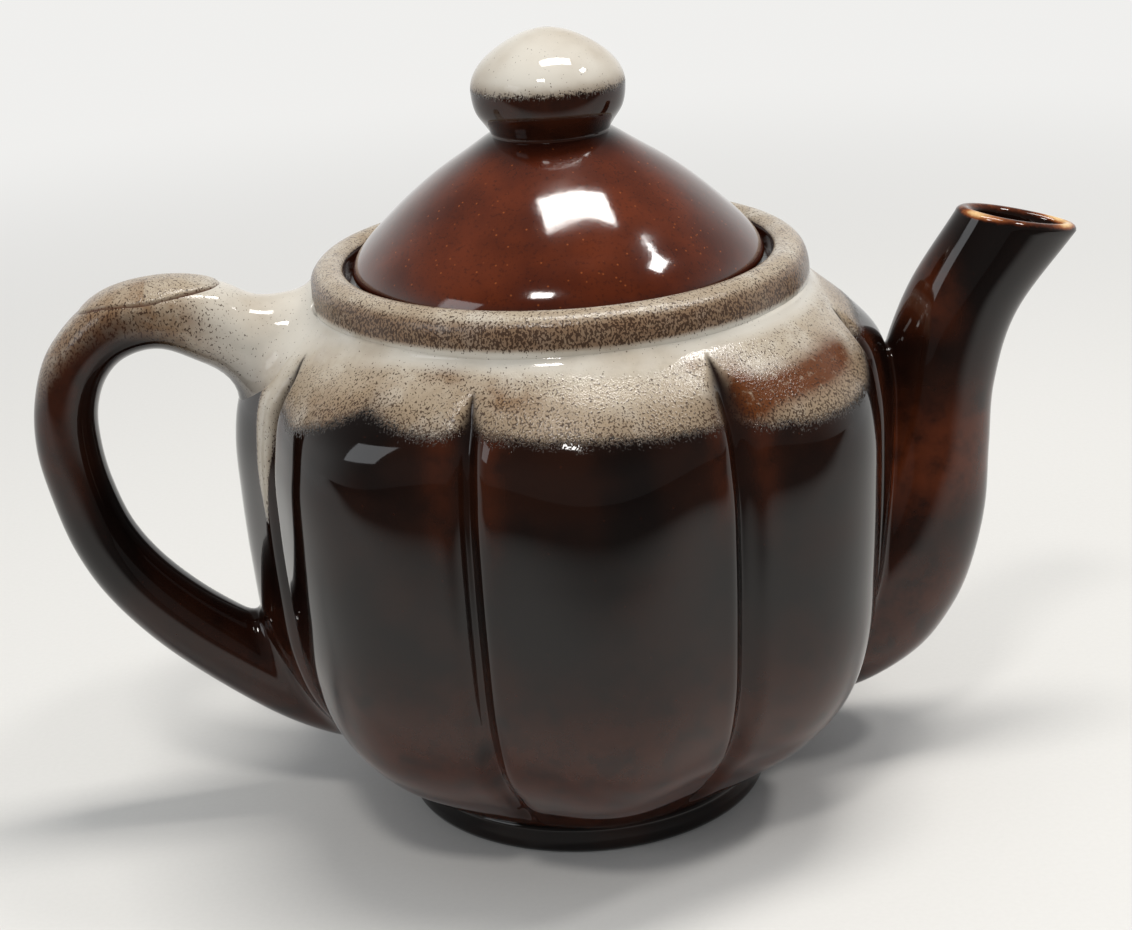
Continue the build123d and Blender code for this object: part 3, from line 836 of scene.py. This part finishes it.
def make_wire_wall():
    """Woven wire wall: rings and uprights that pass over and under each other."""
    radius = basket_high[0] - 0.3
    low, high = basket_low[2] - 0.6, basket_high[2] + 0.6
    uprights = 2 * round(np.pi * radius / wire_pitch)
    hoops = round((high - low) / wire_pitch)
    square = np.linspace(0, 2 * np.pi, 5)[:4] + np.pi / 4
    points, faces = [], []

    def add_wire(centres, outwards, sideways, closed):
        start = len(points)
        for c, o, s in zip(centres, outwards, sideways):
            points.extend(c + wire_radius * (np.cos(a) * o + np.sin(a) * s) for a in square)
        spans = len(centres) if closed else len(centres) - 1
        for k in range(spans):
            here, there = start + 4 * k, start + 4 * ((k + 1) % len(centres))
            faces.extend((here + i, here + (i + 1) % 4, there + (i + 1) % 4, there + i) for i in range(4))
        if not closed:
            end = start + 4 * (len(centres) - 1)
            faces.append(tuple(start + i for i in (3, 2, 1, 0)))
            faces.append(tuple(end + i for i in range(4)))

    levels = low + (np.arange(hoops) + 0.5) * (high - low) / hoops
    turn = np.arange(uprights) * 2 * np.pi / uprights
    out = np.stack([np.cos(turn), np.sin(turn), 0 * turn], -1)
    aside = np.stack([-np.sin(turn), np.cos(turn), 0 * turn], -1)
    up = np.tile((0.0, 0.0, 1.0), (uprights, 1))
    for k, level in enumerate(levels):
        sway = wire_weave * (-1.0) ** (np.arange(uprights) + k)
        add_wire(out * (radius + sway)[:, None] + up * level, out, up, True)
    heights = np.r_[low, levels, high]
    for n in range(uprights):
        sway = np.r_[0, -wire_weave * (-1.0) ** (n + np.arange(hoops)), 0]
        line = out[n] * (radius + sway)[:, None] + np.stack([0 * heights, 0 * heights, heights], -1)
        add_wire(line, np.tile(out[n], (len(line), 1)), np.tile(aside[n], (len(line), 1)), False)
    mesh = bpy.data.meshes.new("infuser_mesh_wall")
    mesh.from_pydata((np.array(points) * MM).tolist(), [], faces)
    mesh.polygons.foreach_set("use_smooth", [True] * len(mesh.polygons))
    wires = bpy.data.objects.new("infuser_mesh_wall", mesh)
    bpy.context.collection.objects.link(wires)
    return wires


def make_base_band():
    """Bottom band, rolled over the edge of the floor."""
    low, high = box_mm("infuser_band")
    inner, outer = basket_high[0] - band_wall, high[0]
    outline = [
        (inner, low[2]), (outer - 0.3, low[2]), (outer, low[2] + 0.4), (outer, high[2] - 0.5),
        (outer - 0.2, high[2] - 0.1), (inner + 0.1, high[2]), (inner, high[2] - 0.3),
    ]
    return lathe("infuser_base_band", outline, around=192, closed=True)


def make_bail():
    """Round wire bail that hangs in the ears, with its arch down inside the basket."""
    low, high = box_mm("infuser_bail")
    wire = (high[0] - low[0]) / 2
    reach = high[1]
    pivot = high[2] - wire
    arch = -(low[2] + wire) + pivot - bail_bend
    elbow = arch + bail_bend
    corner = np.linspace(0, np.pi / 2, 9)
    bow = np.linspace(0, np.pi, 49)
    half = [(-reach, pivot), (-(elbow + reach) / 2, pivot)]
    half += [(-elbow + bail_bend * np.sin(a), pivot - bail_bend * (1 - np.cos(a))) for a in corner]
    line = half + [(-arch * np.cos(a), pivot - bail_bend - arch * np.sin(a)) for a in bow[1:-1]]
    line += [(-y, z) for y, z in half[::-1]]
    line = np.array(line)
    along = np.gradient(line, axis=0)
    along /= np.linalg.norm(along, axis=1)[:, None]
    turn = np.linspace(0, 2 * np.pi, 20, endpoint=False)
    rows = []
    for (y, z), (dy, dz) in zip(line, along):
        x = wire * np.cos(turn)
        side = wire * np.sin(turn)
        rows.append(np.stack([x, y - dz * side, z + dy * side], -1))
    return ring_mesh("infuser_bail_wire", rows)


# ---- stage ----------------------------------------------------------------------------------------------
BACKDROP = (0.87, 0.865, 0.85)


def seen_share(tree, dark_side):
    """Share of the pale backdrop that a ray sees: all from the camera, dark_side of it in a mirror."""
    ray = tree.nodes.new("ShaderNodeLightPath")
    mirror = tree.nodes.new("ShaderNodeMath")
    mirror.operation = "MAXIMUM"
    tree.links.new(ray.outputs["Is Glossy Ray"], mirror.inputs[0])
    tree.links.new(ray.outputs["Is Transmission Ray"], mirror.inputs[1])
    dimmed = tree.nodes.new("ShaderNodeMath")
    dimmed.operation = "MULTIPLY"
    tree.links.new(mirror.outputs[0], dimmed.inputs[0])
    tree.links.new(dark_side, dimmed.inputs[1])
    share = tree.nodes.new("ShaderNodeMath")
    share.operation = "MAXIMUM"
    tree.links.new(ray.outputs["Is Camera Ray"], share.inputs[0])
    tree.links.new(dimmed.outputs[0], share.inputs[1])
    return share.outputs[0]


def map_range(tree, value, start, end, low, high):
    made = tree.nodes.new("ShaderNodeMapRange")
    made.interpolation_type = "SMOOTHSTEP"
    tree.links.new(value, made.inputs["Value"])
    for name, number in (("From Min", start), ("From Max", end), ("To Min", low), ("To Max", high)):
        made.inputs[name].default_value = number
    return made.outputs[0]


def make_floor():
    """Pale floor that keeps the pot's shadow near it and fades into the backdrop far from it."""
    bpy.ops.mesh.primitive_plane_add(size=8, location=(0, 0, 0))
    floor = bpy.context.object
    floor.name = "floor"
    s = Shader("pale_floor")
    s.finish(Base_Color=s.blend(s.noise(1.2, 3), (0.70, 0.69, 0.665), (0.74, 0.73, 0.705)), Roughness=0.8)
    tree = s.tree
    distance = s.node("VectorMath", {0: s.place}, operation="LENGTH").outputs["Value"]
    along = s.node("SeparateXYZ", {0: s.place}).outputs["Y"]
    far = map_range(tree, distance, 0.22, 0.85, 0.0, 1.0)
    share = seen_share(tree, map_range(tree, along, -0.30, 0.10, 0.15, 1.0))
    glow = s.node("Emission", {"Color": BACKDROP})
    mixer = s.node("MixShader", {0: s.maths("MULTIPLY", far, share)})
    shade = s.node("Emission", {"Color": (0.03, 0.03, 0.03)})
    mirrored = s.node("LightPath", {}).outputs["Is Glossy Ray"]
    dark_side = s.maths("MULTIPLY", mirrored, map_range(tree, along, -0.32, -0.15, 0.9, 0.0))
    last = s.node("MixShader", {0: dark_side})
    out = next(n for n in tree.nodes if n.type == "OUTPUT_MATERIAL")
    tree.links.new(s.surface.outputs[0], mixer.inputs[1])
    tree.links.new(glow.outputs[0], mixer.inputs[2])
    tree.links.new(mixer.outputs[0], last.inputs[1])
    tree.links.new(shade.outputs[0], last.inputs[2])
    tree.links.new(last.outputs[0], out.inputs["Surface"])
    floor.data.materials.append(s.material)


def make_world():
    """Backdrop that is pale to the eye and dims overhead and towards -Y in reflections."""
    world = bpy.data.worlds.new("studio")
    bpy.context.scene.world = world
    world.use_nodes = True
    tree = world.node_tree
    tree.nodes.clear()
    way = tree.nodes.new("ShaderNodeTexCoord")
    split = tree.nodes.new("ShaderNodeSeparateXYZ")
    tree.links.new(way.outputs["Generated"], split.inputs[0])
    level = map_range(tree, split.outputs["Z"], 0.10, 0.75, 1.0, 0.16)
    front = map_range(tree, split.outputs["Y"], -0.55, 0.25, 0.13, 1.0)
    both = tree.nodes.new("ShaderNodeMath")
    both.operation = "MULTIPLY"
    tree.links.new(level, both.inputs[0])
    tree.links.new(front, both.inputs[1])
    seen = tree.nodes.new("ShaderNodeBackground")
    seen.inputs["Color"].default_value = (*BACKDROP, 1)
    soft = tree.nodes.new("ShaderNodeBackground")
    soft.inputs["Color"].default_value = (0.92, 0.96, 1.0, 1)
    soft.inputs["Strength"].default_value = 0.46
    dark = tree.nodes.new("ShaderNodeBackground")
    dark.inputs["Color"].default_value = (0.05, 0.05, 0.05, 1)
    ray = tree.nodes.new("ShaderNodeLightPath")
    lit = tree.nodes.new("ShaderNodeMixShader")
    shown = tree.nodes.new("ShaderNodeMixShader")
    out = tree.nodes.new("ShaderNodeOutputWorld")
    tree.links.new(ray.outputs["Is Diffuse Ray"], lit.inputs[0])
    tree.links.new(dark.outputs[0], lit.inputs[1])
    tree.links.new(soft.outputs[0], lit.inputs[2])
    tree.links.new(seen_share(tree, both.outputs[0]), shown.inputs[0])
    tree.links.new(lit.outputs[0], shown.inputs[1])
    tree.links.new(seen.outputs[0], shown.inputs[2])
    tree.links.new(shown.outputs[0], out.inputs[0])


def area_light(name, place, target, size, power, colour=(1, 1, 1)):
    lamp = bpy.data.lights.new(name, "AREA")
    lamp.shape = "RECTANGLE"
    lamp.size, lamp.size_y = size
    lamp.energy = power
    lamp.color = colour
    holder = bpy.data.objects.new(name, lamp)
    holder.location = place
    holder.rotation_euler = (Vector(target) - Vector(place)).to_track_quat("-Z", "Y").to_euler()
    bpy.context.collection.objects.link(holder)


def make_lights():
    area_light("top", (0.14, 0.02, 1.10), (0, 0, 0.12), (0.18, 0.50), 7.0, (1.0, 0.97, 0.93))
    area_light("front", (-0.20, -0.56, 0.96), (0, 0, 0.11), (0.16, 0.12), 2.4, (1.0, 0.97, 0.93))
    area_light("right", (0.60, -0.10, 0.92), (0, 0, 0.12), (0.16, 0.10), 2.0, (1.0, 0.98, 0.96))
    area_light("left", (-1.1, -0.5, 0.7), (0, 0, 0.08), (0.5, 0.5), 2.0, (0.94, 0.97, 1.0))


def make_camera():
    """The photograph's viewing angle: in front of the pot, a little to the handle's side, looking down."""
    distance, height, side_angle = 0.450, 0.2439, np.radians(-6.0)
    pitch, yaw, roll = np.radians((20.566, -0.131, -3.5))
    lens, sensor = 68.43, 36.0
    forward = Vector((np.sin(yaw) * np.cos(pitch), np.cos(yaw) * np.cos(pitch), -np.sin(pitch)))
    right = forward.cross((0, 0, 1)).normalized()
    up = right.cross(forward)
    turned_right = right * np.cos(roll) + up * np.sin(roll)
    turned_up = up * np.cos(roll) - right * np.sin(roll)
    axes = Matrix((turned_right, turned_up, -forward)).transposed().to_4x4()
    data = bpy.data.cameras.new("camera")
    data.lens, data.sensor_width = lens, sensor
    camera = bpy.data.objects.new("camera", data)
    place = Matrix.Translation((0, -distance, height)) @ axes
    camera.matrix_world = Matrix.Rotation(side_angle, 4, "Z") @ place
    bpy.context.collection.objects.link(camera)
    bpy.context.scene.camera = camera


# ---- everything together ----------------------------------------------------------------------------------
glaze = drip_glaze("drip_glaze")
lid_finish = lid_glaze()
clay = bare_clay()
steel = brushed_steel("steel")
steel_wire = brushed_steel("steel_wire", 0.55)

dress(make_body(), glaze, "glaze_body", "pot", "pot_body")
dress(make_collar(), glaze, "glaze_collar", "pot", "pot_collar")
dress(make_foot(), glaze, "glaze_foot", "pot", "pot_foot")
dress(make_spout(), glaze, "glaze_spout", "pot", "spout")
dress(make_handle(), glaze, "glaze_handle", "pot", "handle")
dress(make_thumb_rest(), glaze, "glaze_rest", "pot", "thumb_rest")
dress(make_lid(), lid_finish, "glaze_lid", "lid", "lid_dome")
dress(make_lid_skirt(), clay, "bare_clay", "lid", "lid_skirt")
dress(make_knob(), glaze, "glaze_knob", "lid", "lid_knob")
dress(make_rim(), steel, "steel", "infuser", "infuser_rim")
dress(make_wire_wall(), steel_wire, "steel_mesh", "infuser", "infuser_wall")
dress(make_base_band(), steel, "steel", "infuser", "infuser_band")
dress(make_bail(), steel, "steel", "bail", "infuser_bail")
for node in ("infuser_base", "infuser_ears"):
    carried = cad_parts[node]
    carried.data.materials.clear()
    carried.data.materials.append(steel)

make_floor()
make_world()
make_lights()
make_camera()
bpy.context.scene.view_settings.view_transform = "Standard"
